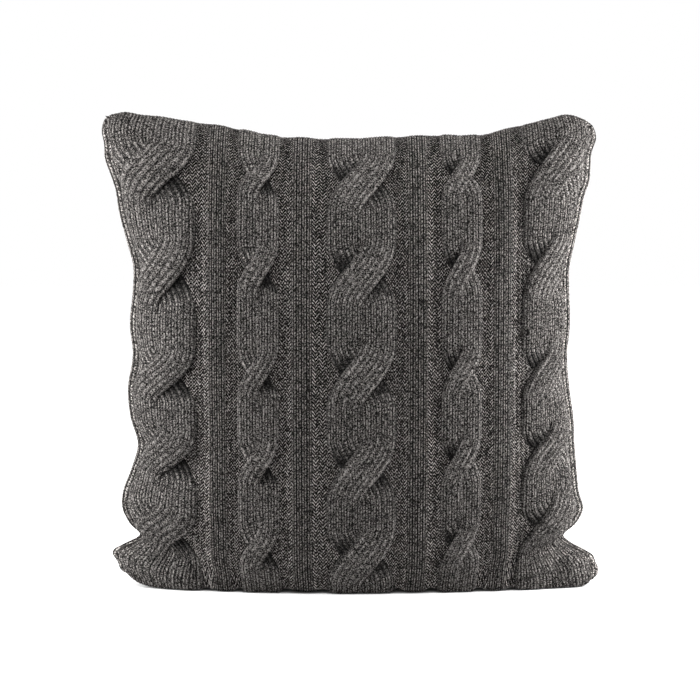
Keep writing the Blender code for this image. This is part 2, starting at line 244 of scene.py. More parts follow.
# ---- macro shape
def skin(u, v, side, slotted=True):
    """Points of one side of the cushion: u and v run from -1 to 1 across and up, side is -1 in front."""
    across, up = np.sin(np.pi / 2 * u), np.sin(np.pi / 2 * v)
    swell = np.clip(np.cos(np.pi / 2 * u) * np.cos(np.pi / 2 * v), 0.0, 1.0) ** FULLNESS
    rim_height = (up + 1.0) / 2
    width = np.where(u < 0, curve(LEFT_EDGE, rim_height), curve(RIGHT_EDGE, rim_height))
    roll = swell / ROLL_AT * np.exp(1.0 - swell / ROLL_AT) * np.abs(across) ** 6
    x = across * (HALF_WIDTH * width + roll * EDGE_ROLL * (1.0 if side > 0 else FRONT_ROLL))
    top = TOP * curve(TOP_EDGE, across) - MIDDLE
    z = np.where(up >= 0, MIDDLE + up * top, MIDDLE + up * MIDDLE * (1.0 + SAG * (1.0 - across**2)))
    slot = (1.0 - ease(SLOT_STRAIGHT_TO, SLOT_ENDS_AT, np.abs(x))) * ease(SLOT_FROM_UP, 1.0, -up)
    gap = SLOT_HALF_WIDTH * slot * slotted
    depth = gap + ((FRONT_DEPTH if side < 0 else BACK_DEPTH) - gap) * swell
    lean = np.maximum(0.0, up) ** 4 * TOP_SEAM_BACK * (1.0 - across**4)
    lean = lean - SEAM_FORWARD * across**4 * (1.0 - slot)
    y = side * depth + lean * (1.0 - swell)
    z = np.maximum(z, 0.0) + valley(x, y) * (1.0 - ease(0.0, VALLEY_HEIGHT * 3, z))
    return np.stack([x, y, z], axis=-1)


def grid_object(name, columns, rows):
    """A flat grid as an object, with its corner at the first vertex and columns running fastest."""
    shape = bmesh.new()
    bmesh.ops.create_grid(shape, x_segments=columns, y_segments=rows, size=1.0)
    mesh = bpy.data.meshes.new(name)
    shape.to_mesh(mesh)
    shape.free()
    return placed(name, mesh)


def placed(name, data):
    """An object of this data, in the scene."""
    made = bpy.data.objects.new(name, data)
    scene.collection.objects.link(made)
    return made


def set_points(obj, points):
    obj.data.vertices.foreach_set("co", np.ascontiguousarray(points, np.float32).ravel())
    obj.data.update()


def get_points(mesh):
    points = np.zeros(len(mesh.vertices) * 3, np.float32)
    mesh.vertices.foreach_get("co", points)
    return points.reshape(-1, 3).astype(float)


def cloth_swell():
    """How far the filling's pressure moves each point of both panels, as {side: (rows, columns, 3)}."""
    at = np.linspace(-1.0, 1.0, CAGE + 1)
    v, u = np.meshgrid(at, at, indexing="ij")
    start = {side: skin(u, v, side) for side in (-1, 1)}
    halves = []
    for side in (-1, 1):
        half = grid_object(f"cage_{side}", CAGE, CAGE)
        set_points(half, start[side] * np.array((1.0, SLACK, 1.0)))
        halves.append(half)
    halves[1].data.flip_normals()
    cage = joined("cloth_cage", halves)
    count = (CAGE + 1) ** 2
    on_rim = np.maximum(np.abs(u), np.abs(v)) > 0.999
    rim_points = np.flatnonzero(on_rim)
    pins = cage.vertex_groups.new(name="seam")
    pins.add([int(i) for i in rim_points] + [int(i) + count for i in rim_points], 1.0, "REPLACE")
    cloth = cage.modifiers.new("pressure", "CLOTH")
    cloth.settings.vertex_group_mass = "seam"
    cloth.settings.use_pressure = True
    cloth.settings.uniform_pressure_force = PRESSURE
    cloth.settings.effector_weights.gravity = 0.0
    cloth.settings.tension_stiffness = TENSION
    cloth.settings.bending_stiffness = BENDING
    kept = get_points(cage.data)
    for step in range(1, CLOTH_FRAMES + 1):
        scene.frame_set(step)
    moved = get_points(cage.evaluated_get(bpy.context.evaluated_depsgraph_get()).data) - kept
    scene.frame_set(1)
    bpy.data.objects.remove(cage)
    moved *= np.minimum(1.0, CLOTH_CAP / np.maximum(np.linalg.norm(moved, axis=1, keepdims=True), 1e-9))
    moved = (kept + moved).reshape(2, CAGE + 1, CAGE + 1, 3)
    result = {side: (moved[i] - start[side]) * ~on_rim[..., None] for i, side in enumerate((-1, 1))}
    for side, shift in result.items():
        shift[..., 1] = side * np.maximum(side * shift[..., 1], -CLOTH_SINK)
    return result


def sampled(table, row, column):
    """Values of a table at fractional rows and columns (0 to 1), between its samples."""
    rows, columns = table.shape[:2]
    r = np.clip(row, 0.0, 1.0) * (rows - 1)
    c = np.clip(column, 0.0, 1.0) * (columns - 1)
    r0 = np.minimum(r.astype(int), rows - 2)
    c0 = np.minimum(c.astype(int), columns - 2)
    fr, fc = (r - r0)[..., None], (c - c0)[..., None]
    top = table[r0, c0] * (1 - fc) + table[r0, c0 + 1] * fc
    low = table[r0 + 1, c0] * (1 - fc) + table[r0 + 1, c0 + 1] * fc
    return top * (1 - fr) + low * fr


def lengths(points):
    """How far along a line of points each of them lies."""
    return np.concatenate([[0.0], np.cumsum(np.linalg.norm(np.diff(points, axis=0), axis=1))])


def even(points):
    """Shares of the way along a line of points, by length."""
    length = lengths(points)
    return length / length[-1]


def along_line(points, way):
    """Points at the given lengths along a line of points."""
    return np.stack([np.interp(way, lengths(points), points[:, k]) for k in range(3)], axis=-1)


def unit(vectors, least=1e-9):
    """The vectors at a length of 1. Shorter ones than least stay shorter."""
    return vectors / np.maximum(np.linalg.norm(vectors, axis=-1, keepdims=True), least)


def crease(points):
    """How deep the creases of the front panel are at each of its points."""
    depth = np.zeros(points.shape[:-1])
    flat = points[..., ::2]
    for start, end, deep, wide in CREASES:
        start, way = np.array(start), np.array(end) - np.array(start)
        along = np.clip((flat - start) @ way / (way @ way), 0.0, 1.0)
        away = np.linalg.norm(flat - start - along[..., None] * way, axis=-1)
        shown = CREASE_ENDS + (1.0 - CREASE_ENDS) * np.sin(np.pi * along)
        depth += deep * shown * np.exp(-((away / wide) ** 2))
    return depth


def row_places(line, fine, share, columns):
    """Where the wales lie along one row: straight below each other, but the outer cables reach the seams."""
    outer = np.array((BAND_WIDTHS[0], sum(BAND_WIDTHS) - BAND_WIDTHS[-1])) / sum(BAND_WIDTHS)
    length = even(line)
    along = np.interp(np.interp(columns, line[:, 0], fine), fine, length)
    left, right = np.interp(outer, share, along)
    along = np.where(share < outer[0], share / outer[0] * left, along)
    along = np.where(share > outer[1], 1 - (1 - share) / (1 - outer[1]) * (1 - right), along)
    return np.interp(along, length, fine)


class Cloth:
    """The macro shape of one panel, by share across (from the left) and share down (from the top)."""

    def __init__(self, side, swell):
        fine = np.linspace(-1.0, 1.0, 321)
        share = np.linspace(0.0, 1.0, TABLE)
        v = np.interp(1.0 - share, even(skin(np.zeros_like(fine), fine, side)), fine)
        columns = (share - 0.5) * sum(BAND_WIDTHS) + BANDS_ASIDE
        drawn = 1.0 - DRAWN_IN * ease(DRAWN_FROM, 1.0, share)
        lines = [skin(fine, np.full_like(fine, row), side) for row in v]
        u = np.stack([row_places(line, fine, share, columns * k) for line, k in zip(lines, drawn)])
        v = np.repeat(v[:, None], TABLE, axis=1)
        moved = smoothed(swell, 2)
        self.points = skin(u, v, side) + sampled(moved, (v + 1) / 2, (u + 1) / 2)
        if side < 0:
            self.points[..., 1] += crease(self.points)
        self.points[..., 2] = np.maximum(self.points[..., 2], 0.0)
        self.points = smoothed(self.points, 3)
        across, down = np.gradient(self.points, axis=1), np.gradient(self.points, axis=0)
        self.normals = smoothed(unit(np.cross(across, down) * side), 4)
        self.wide = sum(BAND_WIDTHS)
        self.tall = float(lengths(self.points[:, TABLE // 2])[-1])
        self.row = self.tall / ROWS

    def at(self, across, down, height):
        """Points at shares across and down, raised off the cloth by height, which flattens near the seams."""
        across, down = np.clip(across, 0.0, 1.0), np.clip(down, 0.0, 1.0)
        near = np.minimum(np.minimum(across, 1 - across) * self.wide,
                          np.minimum(down, 1 - down) * self.tall)
        fade = RIM_RELIEF + (1.0 - RIM_RELIEF) * ease(0.0, RELIEF_FADE, near)
        height = height * fade * ease(0.0, SEAM_DIP_WIDTH, near)
        dip = SEAM_DIP * (1.0 - ease(0.0, SEAM_DIP_WIDTH, near))
        normal = sampled(self.normals, down, across)
        outwards = unit(normal * (1.0, 0.0, 1.0), 0.05)
        points = sampled(self.points, down, across) + normal * height[..., None] - outwards * dip[..., None]
        least = FLOOR_CLEAR + FLATTENED * np.maximum(0.0, RELIEF_TOP - height)
        points[..., 2] = np.maximum(points[..., 2], least)
        return points


def smoothed(table, times):
    """The table with its inner samples averaged with their neighbours."""
    table = table.copy()
    for _ in range(times):
        inner = table[1:-1, 1:-1]
        around = table[:-2, 1:-1] + table[2:, 1:-1] + table[1:-1, :-2] + table[1:-1, 2:]
        table[1:-1, 1:-1] = inner * 0.5 + around * 0.125
    return table


# ---- knitting
def stitch_lattice(wales, columns=None):
    """Row and wale counts of every lattice point over some wales, and its place in its stitch."""
    wale = np.arange(wales * WALE_SAMPLES + 1) / WALE_SAMPLES if columns is None else columns
    rows = np.arange(ROWS * ROW_SAMPLES + 1)
    row, wale = np.meshgrid(rows / ROW_SAMPLES, wale, indexing="ij")
    phase = np.broadcast_to((rows % ROW_SAMPLES)[:, None], row.shape)
    return row, wale, wale % 1.0, phase


def plain_legs(part):
    """Where a plain stitch's legs stand (0 to 1), and where the furrow between them is."""
    return 0.5 - 0.5 * np.cos(4 * np.pi * part), np.abs(part - 0.5) < 0.01


def plain_relief(part, phase):
    """Relief of a plain stitch: two legs that lean together, with a furrow between them."""
    legs, middle = plain_legs(part)
    furrow = np.where(middle, -FURROW, 0.0)
    bands = np.where(phase == 0, -0.6, 0.3)
    return (legs - 0.5 + furrow) * STITCH_RELIEF + bands * ROW_RELIEF * (0.3 + 0.7 * legs)


def plain_light(part, phase):
    """How open a point of a plain stitch is to the light, from 0 in its furrows to 1 on its legs."""
    legs, middle = plain_legs(part)
    centre = np.where(middle, FURROW_LIGHT, 0.0)
    return np.clip(centre * (1 - legs) + legs * np.where(phase == 0, ROW_GAP_LIGHT, 1.0), 0.0, 1.0)


def purl_relief(phase):
    """Relief of a purl stitch: a bead across the wale."""
    return np.where(phase == 0, -0.7, 0.5) * BEAD_RELIEF


def purl_light(phase):
    """How open a point of a purl stitch is to the light: its beads, with dark gaps between them."""
    return np.array(BEAD_LIGHT)[phase]


def leg_rows(part):
    """Rows by which a plain stitch's legs climb towards the edge of the wale."""
    return LEG_SLANT * np.abs(2 * part - 1.0)


def mark_stitches(obj, wale, row, light):
    """Keeps each point's wale, row and openness to the light on the mesh, for the yarn's material."""
    layer = obj.data.attributes.new("stitch", "FLOAT_VECTOR", "POINT")
    values = np.stack([wale, row, np.broadcast_to(light, wale.shape)], axis=-1)
    layer.data.foreach_set("vector", np.ascontiguousarray(values, np.float32).ravel())


def band_edges():
    """Shares across the front panel of the edges of its bands."""
    return np.concatenate([[0.0], np.cumsum(BAND_WIDTHS)]) / sum(BAND_WIDTHS)


def lattice_piece(name, cloth, across, row, height, wale, light):
    """A sheet of stitches laid on the cloth, from its lattice of points."""
    made = grid_object(name, across.shape[1] - 1, across.shape[0] - 1)
    set_points(made, cloth.at(across, row / ROWS, height))
    mark_stitches(made, wale + PIECE_OFFSET * float(across.min()) // 0.01, row, light)
    made.data.flip_normals()
    return made


def knit_rib(name, cloth, low, high):
    """A raised rib of plain stitches."""
    row, wale, part, phase = stitch_lattice(RIB)
    q = wale / RIB * 2 - 1
    height = RIB_HEIGHT * (1 - np.abs(q) ** 3.0) + plain_relief(part, phase)
    across = low + (high - low) * (q + 1) / 2
    return lattice_piece(name, cloth, across, row - leg_rows(part), height, wale,
                         RIB_SHADE * plain_light(part, phase))


def knit_ground(name, cloth, bands, edges):
    """The purl ground from rib to rib, which shows as a gutter on each side of its cable."""
    counts = np.concatenate([[0], np.cumsum(bands)])
    cable = int(np.argmax(bands))
    first, last = counts[cable], counts[cable + 1]
    shown = 3 if bands[cable] == WIDE_CABLE else 2
    fine = 1 / WALE_SAMPLES
    columns = np.concatenate([
        np.arange(0, first + shown, fine), np.arange(first + shown, last - shown, 1.0),
        np.arange(last - shown, counts[-1] + fine / 2, fine),
    ])
    row, wale, part, phase = stitch_lattice(counts[-1], columns)
    from_rib = np.minimum(wale if cable else 9.0, counts[-1] - wale if cable < len(bands) - 1 else 9.0)
    height = -GUTTER_DEPTH * ease(0.0, 1.0, from_rib) + purl_relief(phase)
    # painted shade over the gutter, with a painted shine beside the ribs
    light = purl_light(phase) * (GUTTER_SHADE + RIB_EDGE_SHINE * ease(1.2, 0.0, from_rib))
    row = row - PURL_WAVE * np.cos(2 * np.pi * part)
    return lattice_piece(name, cloth, np.interp(wale, counts, edges), row, height, wale, light)


def strand_course(row, crossings, reach, starts_right, tucked):
    """Where a strand of a rope cable lies (-1 left to 1 right), and how far it is into a crossing (-1 to 1).

    tucked is how deep the lower strand goes before and after a crossing.
    """
    sign = 1.0 if starts_right else -1.0
    place = np.full_like(row, sign)
    over = np.zeros_like(row)
    for crossing in crossings:
        place = place - 2.0 * sign * ease(crossing - reach, crossing + reach, row)
        near = np.clip(1.0 - ((row - crossing) / (reach * 1.3)) ** 2, 0.0, 1.0) ** 1.5
        depth = tucked[0] + (tucked[1] - tucked[0]) * ease(crossing - 1.5, crossing + 1.5, row)
        over = over + near * (sign if sign > 0 else -depth)
        sign = -sign
    return place, over


def cable_strand(name, cloth, wales, low, high, crossings, starts_right, tucked):
    """One strand of a rope cable, which passes over and under its partner."""
    row, wale, part, phase = stitch_lattice(wales)
    place, over = strand_course(row, crossings, CROSSING_REACH[wales * 2], starts_right, tucked)
    q = wale / wales * 2 - 1
    middle, half = (low + high) / 2, (high - low) / 2 * cloth.wide
    lean = np.gradient(place, axis=0) * ROW_SAMPLES * half * STRAND_AT / cloth.row
    turned = lean**2 / (1 + lean**2)
    tucked = 1 - UNDERCUT * np.abs(over) * np.clip((np.abs(q) - UNDERCUT_FROM) / (1 - UNDERCUT_FROM), 0, 1)
    offset = q * tucked * half * STRAND_SHARE * (1 + CROSSING_SPREAD * np.abs(over))
    across = middle + (half * STRAND_AT * place
                       + offset * (1 - CROSSING_TURN * turned) * np.sqrt(1 + lean**2)) / cloth.wide
    inner = np.clip(0.5 - q * np.sign(place) * 3.0, 0.0, 1.0)
    rolled = INNER_ROLL + (1 - INNER_ROLL) * np.abs(over) ** 0.8
    drop = EDGE_DROP * np.abs(q) ** 5.0 * (inner * rolled + 1.0 - inner)
    rise = CABLE_HEIGHT + np.maximum(over, 0) * OVER_HEIGHT + np.minimum(over, 0) * UNDER_DROP
    height = rise + STRAND_CROWN * (1 - q**2) - drop * (1 + 0.22 * np.maximum(over, 0))
    height = height + plain_relief(part, phase) * CABLE_RELIEF * (1 - 0.35 * np.abs(over))
    # painted shade along a strand's edges and where it runs under its partner, and painted light where it
    # runs over
    edge = np.clip(np.abs(q) * 7.0 - 6.0, 0.0, 1.0) * (inner * rolled + 1.0 - inner)
    light = plain_light(part, phase)
    light = CABLE_SHADE * (light + (1.0 - light) * PAINTED_CABLE_FURROW_EASE)
    light = light + (OVER_LIGHT - light) * OVER_EVEN * np.maximum(over, 0)
    light = light * (1.0 - EDGE_SHADE * edge) * (1.0 - UNDER_SHADE * ease(0.40, 1.0, -over))
    row = row - leg_rows(part) - CROSSING_TURN * offset * lean / np.sqrt(1 + lean**2) / cloth.row
    return lattice_piece(name, cloth, across, row, height, wale, light)


def joined(name, objects):
    """The objects as one mesh object."""
    with bpy.context.temp_override(active_object=objects[0], object=objects[0], selected_objects=objects,
                                   selected_editable_objects=objects):
        bpy.ops.object.join()
    objects[0].name = name
    objects[0].data.name = name
    return objects[0]


def crossing_rows(cloth, shift):
    """Rows of the front panel at which a cable's strands cross."""
    heights = cloth.points[:, TABLE // 2, 2]
    lowest = int(np.argmin(heights))
    rows = np.linspace(0, ROWS, TABLE)
    wanted = (np.array(CROSSING_HEIGHTS) + shift) * TOP
    return np.interp(-wanted, -heights[: lowest + 1], rows[: lowest + 1])


def front_panel(cloth):
    """The cable-knit front: ribs, the purl ground between them, then the two strands of every cable."""
    edges = band_edges()
    ribs = [i for i, band in enumerate(BANDS) if band == RIB]
    pieces = [knit_rib(f"rib_{i}", cloth, edges[i], edges[i + 1]) for i in ribs]
    for cable, (first, last) in enumerate(zip([-1] + ribs, ribs + [len(BANDS)])):
        bands = BANDS[first + 1:last]
        pieces.append(knit_ground(f"ground_{cable}", cloth, bands, edges[first + 1:last + 1]))
        at = first + 1 + int(np.argmax(bands))
        rows = crossing_rows(cloth, CROSSING_SHIFT[cable])
        for right in (True, False):
            name = f"strand_{cable}_{'ab'[right]}"
            pieces.append(cable_strand(name, cloth, BANDS[at] // 2, edges[at], edges[at + 1], rows, right,
                                       TUCKED[cable]))
    return joined("front_panel_knit", pieces)


def back_panel(cloth):
    """The plain-knit back."""
    wales = sum(BANDS)
    row, wale, part, phase = stitch_lattice(wales)
    height = plain_relief(part, phase) + 0.0008
    made = lattice_piece("back_panel_knit", cloth, wale / wales, row - leg_rows(part), height, wale,
                         plain_light(part, phase))
    made.data.flip_normals()
    return made


# ---- materials
def new_material(name, colour, roughness, metallic=0.0):
    """A material with its constants set on its shader. Gives back the material, its tree and the shader."""
    made = bpy.data.materials.new(name)
    made.use_nodes = True
    shader = made.node_tree.nodes["Principled BSDF"]
    feed(made.node_tree, shader, Base_Color=(*colour, 1.0), Roughness=roughness, Metallic=metallic)
    return made, made.node_tree, shader


def node(tree, kind, settings=None, **inputs):
    """A node with its settings, and its inputs by name: a value, or another node's socket to link."""
    made = tree.nodes.new(kind)
    for key, value in (settings or {}).items():
        setattr(made, key, value)
    feed(tree, made, **inputs)
    return made


def feed(tree, made, **inputs):
    for key, value in inputs.items():
        socket = made.inputs[int(key[1:])] if key[0] == "_" else made.inputs[key.replace("_", " ")]
        if isinstance(value, bpy.types.NodeSocket):
            tree.links.new(value, socket)
        else:
            socket.default_value = value


def maths(tree, operation, a, b, clamp=False):
    return node(tree, "ShaderNodeMath", {"operation": operation, "use_clamp": clamp}, _0=a, _1=b).outputs[0]


def times(tree, a, b, clamp=False):
    return maths(tree, "MULTIPLY", a, b, clamp)


def plus(tree, a, b, clamp=False):
    return maths(tree, "ADD", a, b, clamp)


def noise(tree, place, scale, detail, roughness):
    return node(tree, "ShaderNodeTexNoise", Vector=place, Scale=scale, Detail=detail,
                Roughness=roughness).outputs[0]


def new_group(name, inputs, *outputs):
    """A shader node group with inputs {name: value} and outputs, all floats."""
    group = bpy.data.node_groups.new(name, "ShaderNodeTree")
    for key, value in inputs.items():
        group.interface.new_socket(key, in_out="INPUT", socket_type="NodeSocketFloat").default_value = value
    for key in outputs:
        group.interface.new_socket(key, in_out="OUTPUT", socket_type="NodeSocketFloat")
    return group, group.nodes.new("NodeGroupInput").outputs, group.nodes.new("NodeGroupOutput")


def use_group(tree, group, **inputs):
    made = tree.nodes.new("ShaderNodeGroup")
    made.node_tree = group
    feed(tree, made, **inputs)
    return made


def fibre_group():
    """Spun wool: mixed light and dark fibres, and the fuzz that stands on them."""
    group, given, result = new_group("spun fibres", {"Fibre size": 0.0009, "Blend": 1.0}, "Tone", "Fuzz")
    place = node(group, "ShaderNodeTexCoord").outputs["Object"]
    scale = maths(group, "DIVIDE", 1.0, given["Fibre size"])
    fine = noise(group, place, scale, 2.0, 0.7)
    flecks = node(group, "ShaderNodeTexVoronoi", Vector=place, Scale=scale)
    bright = maths(group, "SUBTRACT", 0.26, flecks.outputs["Distance"], True)
    mixed = times(group, maths(group, "SUBTRACT", fine, 0.5), 2.4)
    mixed = plus(group, mixed, times(group, bright, 2.2))
    feed(group, result, Tone=times(group, mixed, given["Blend"]), Fuzz=fine)
    return group


def stitch_group():
    """What the lattice of stitches adds: a tone for each leg, the painted shade of its furrows and the twist
    of its yarn.
    """
    group, given, result = new_group("stitches", {"Leg variation": 0.5, "Twist": 1.0},
                                     "Tone", "Open", "Twist height")
    mark = node(group, "ShaderNodeAttribute", {"attribute_name": "stitch", "attribute_type": "GEOMETRY"})
    part = node(group, "ShaderNodeSeparateXYZ", Vector=mark.outputs["Vector"])
    leg = maths(group, "FLOOR", times(group, part.outputs["X"], 2.0), 0.0)
    row = maths(group, "FLOOR", part.outputs["Y"], 0.0)
    cell = node(group, "ShaderNodeCombineXYZ", X=leg, Y=row)
    chance = node(group, "ShaderNodeTexWhiteNoise", {"noise_dimensions": "2D"}, Vector=cell.outputs[0])
    tone = maths(group, "SUBTRACT", chance.outputs["Value"], 0.5)
    feed(group, result, Tone=times(group, tone, given["Leg variation"]), Open=part.outputs["Z"])
    across = times(group, part.outputs["X"], TWIST_ACROSS)
    slope = plus(group, across, times(group, part.outputs["Y"], TWIST_UP))
    wave = maths(group, "SINE", times(group, slope, 2 * math.pi), 0.0)
    feed(group, result, Twist_height=times(group, wave, given["Twist"]))
    return group


def knit_material(name, dark, middle, light):
    """Marled wool, darker in the furrows between its stitches, where the shade is painted into its colour."""
    made, tree, shader = new_material(name, middle, 0.92)
    fibres = use_group(tree, groups["fibres"], Fibre_size=0.0012, Blend=3.6)
    stitches = use_group(tree, groups["stitches"], Leg_variation=0.52, Twist=1.0)
    tone = plus(tree, fibres.outputs["Tone"], stitches.outputs["Tone"])
    tone = plus(tree, tone, 0.40, True)
    ramp = node(tree, "ShaderNodeValToRGB", _0=tone)
    ramp.color_ramp.elements[0].color = (*dark, 1)
    ramp.color_ramp.elements[1].color = (*light, 1)
    ramp.color_ramp.elements.new(0.45).color = (*middle, 1)
    # painted shade: each point's openness to the light, kept on the mesh, darkens the yarn's colour
    shade = times(tree, maths(tree, "POWER", stitches.outputs["Open"], SHADE_POWER), SHADE)
    grey = node(tree, "ShaderNodeCombineColor", Red=shade, Green=shade, Blue=shade)
    colour = node(tree, "ShaderNodeMix", {"data_type": "RGBA", "blend_type": "MULTIPLY"}, _0=1.0,
                  _6=ramp.outputs[0], _7=grey.outputs[0])
    feed(tree, shader, Base_Color=colour.outputs[2], Specular_IOR_Level=0.08)
    fuzz = times(tree, fibres.outputs["Fuzz"], 1.2)
    height = plus(tree, fuzz, times(tree, stitches.outputs["Twist height"], 0.25))
    bumped(tree, shader, height, 1.0, 0.0009)
    return made


def bumped(tree, shader, height, strength, distance):
    bump = node(tree, "ShaderNodeBump", Height=height, Strength=strength, Distance=distance)
    feed(tree, shader, Normal=bump.outputs[0])


def thread_material(name, colour, light, fibre, roughness):
    """Spun yarn or thread: its fibres' tones between two colours, and their fuzz."""
    made, tree, shader = new_material(name, colour, roughness)
    fibres = use_group(tree, groups["fibres"], Fibre_size=fibre, Blend=0.9)
    ramp = two_tone(tree, plus(tree, fibres.outputs["Tone"], 0.45, True), colour, light)
    feed(tree, shader, Base_Color=ramp, Specular_IOR_Level=0.25)
    bumped(tree, shader, fibres.outputs["Fuzz"], 0.6, fibre * 0.4)
    return made


def two_tone(tree, mask, dark, light):
    ramp = node(tree, "ShaderNodeValToRGB", _0=mask)
    ramp.color_ramp.elements[0].color = (*dark, 1)
    ramp.color_ramp.elements[1].color = (*light, 1)
    return ramp.outputs[0]


def weave_group():
    """A plain weave of threads, on object coordinates: its height, and a slub that varies its tone, with
    painted shade where the threads dip.
    """
    group, given, result = new_group("weave", {"Thread": 0.0006, "Slub": 0.3}, "Height", "Tone")
    place = node(group, "ShaderNodeTexCoord").outputs["Object"]
    part = node(group, "ShaderNodeSeparateXYZ", Vector=place)
    turn = maths(group, "DIVIDE", 2 * math.pi, given["Thread"])
    tall = plus(group, part.outputs["Z"], times(group, part.outputs["Y"], 0.9))
    warp = maths(group, "SINE", times(group, part.outputs["X"], turn), 0.0)
    weft = maths(group, "SINE", times(group, tall, turn), 0.0)
    crossed = times(group, warp, weft)
    slub = noise(group, place, 420.0, 3.0, 0.6)
    varied = times(group, maths(group, "SUBTRACT", slub, 0.5), given["Slub"])
    # painted shade: the tone follows the weave's height, darker where the threads dip
    tone = plus(group, varied, times(group, crossed, 0.18))
    height = plus(group, times(group, crossed, 0.5), 0.5)
    feed(group, result, Height=height, Tone=plus(group, tone, 0.5, True))
    return group


def woven_material(name, dark, light, thread, roughness, slub=0.5, sheen=0.0):
    made, tree, shader = new_material(name, dark, roughness)
    weave = use_group(tree, groups["weave"], Thread=thread, Slub=slub)
    feed(tree, shader, Base_Color=two_tone(tree, weave.outputs["Tone"], dark, light), Sheen_Weight=sheen)
    bumped(tree, shader, weave.outputs["Height"], 0.7, thread * 0.3)
    return made


def handled_group():
    """Fine grain and the brighter rubbed patches of a small cast or moulded part."""
    group, given, result = new_group("handled", {"Grain": 0.0004}, "Grain", "Rubbed")
    place = node(group, "ShaderNodeTexCoord").outputs["Object"]
    scale = maths(group, "DIVIDE", 1.0, given["Grain"])
    rubbed = maths(group, "SUBTRACT", noise(group, place, 480.0, 2.0, 0.5), 0.42)
    feed(group, result, Grain=noise(group, place, scale, 4.0, 0.7), Rubbed=times(group, rubbed, 4.0, True))
    return group


def hard_material(name, dark, light, metallic, smooth, rough, grain=0.0003):
    """Cast metal or nylon: rubbed patches that are lighter and smoother, and a fine grain."""
    made, tree, shader = new_material(name, dark, rough, metallic)
    handled = use_group(tree, groups["handled"], Grain=grain)
    rubbed = handled.outputs["Rubbed"]
    shine = plus(tree, times(tree, rubbed, smooth - rough), rough)
    feed(tree, shader, Base_Color=two_tone(tree, rubbed, dark, light), Roughness=shine)
    bumped(tree, shader, handled.outputs["Grain"], 0.25, grain * 0.2)
    return made


# ---- threads, strips and blocks
def closed_up(obj):
    """Joins a grid's meeting edges, fills its open ends and turns its faces outwards."""
    shape = bmesh.new()
    shape.from_mesh(obj.data)
    bmesh.ops.remove_doubles(shape, verts=shape.verts, dist=1e-7)
    bmesh.ops.holes_fill(shape, edges=shape.edges, sides=0)
    bmesh.ops.recalc_face_normals(shape, faces=shape.faces)
    shape.to_mesh(obj.data)
    shape.free()
    return obj


def strand_along(name, path, radius, sides, across):
    """A round strand along a path. across is a direction that the path never takes."""
    path = np.asarray(path, float)
    ahead = np.gradient(path, axis=0)
    if np.allclose(path[0], path[-1]):
        ahead[0] = ahead[-1] = path[1] - path[-2]
    first = unit(np.cross(ahead, across))
    second = unit(np.cross(first, ahead))
    turn = np.linspace(0, 2 * np.pi, sides + 1)[:, None]
    ring = first[:, None] * np.cos(turn) + second[:, None] * np.sin(turn)
    made = grid_object(name, sides, len(path) - 1)
    set_points(made, path[:, None] + ring * radius)
    return closed_up(made)


def rim(points_a_side, shares=(1.0, 1.0, 1.0), clear=0.0):
    """Points round the whole seam, from the middle of the foot over the left side, the top and the right."""
    t = np.linspace(-1.0, 1.0, points_a_side)
    one = np.ones_like(t)
    half = points_a_side // 2
    u = np.concatenate([-(t[half:]), -one[1:], t[1:], one[1:], -t[1:half + 1]])
    v = np.concatenate([-one[half:], t[1:], one[1:], -t[1:], -one[1:half + 1]])
    return pad_points(u, v, -1, np.array(shares), clear)


def pad_points(u, v, side, shares, clear):
    """Points of a pad as shares of the cushion's own size. With clear, it also stays inside the cover."""
    middle = np.array((0.0, 0.0, MIDDLE))
    points = middle + (skin(u, v, side, slotted=False) - middle) * shares
    if clear:
        edge = middle + (skin(np.sign(u), v, side, slotted=False) - middle) * shares
        height = edge[..., 2] / TOP
        width = np.where(u < 0, curve(LEFT_EDGE, height), curve(RIGHT_EDGE, height))
        room = HALF_WIDTH * width - clear * PAD_ROOM
        points[..., 0] *= np.minimum(1.0, room / np.maximum(np.abs(edge[..., 0]), clear))
        floor = clear + valley(points[..., 0], points[..., 1]) * PAD_VALLEY
        points[..., 2] = np.maximum(points[..., 2], floor)
    return points


def pad_side(name, side, shares, clear, count, swell):
    """One side of a pad, with swell(u, v) added to its crown."""
    at = np.linspace(-1.0, 1.0, count + 1)
    v, u = np.meshgrid(at, at, indexing="ij")
    points = pad_points(u, v, side, shares, clear)
    points[..., 1] += side * swell(u, v)
    if side < 0:
        points[..., 1] += crease(points)
    made = grid_object(name, count, count)
    set_points(made, points)
    if side > 0:
        made.data.flip_normals()
    return made


def puckers(u, v):
    """Small gathers that run in from the seam."""
    rim_near = np.exp(-(1.0 - np.maximum(np.abs(u), np.abs(v))) / 0.07)
    along = np.where(np.abs(u) > np.abs(v), v, u)
    fade = np.clip(8.0 * (1.0 - np.maximum(np.abs(u), np.abs(v))), 0.0, 1.0)
    return 0.0012 * rim_near * fade * (np.sin(61.0 * along) + 0.6 * np.sin(97.0 * along + 1.3))


def lumps(u, v):
    """Clumps of loose fibre."""
    wide = np.sin(9.0 * u + 1.7 * np.sin(5.0 * v)) * np.sin(8.0 * v + 1.2 * np.sin(6.0 * u))
    small = np.sin(27.0 * u + 2.0 * np.sin(17.0 * v)) * np.sin(25.0 * v + 1.5)
    return (0.0014 * wide + 0.0006 * small - 0.0012) * (1 - u**4) * (1 - v**4)


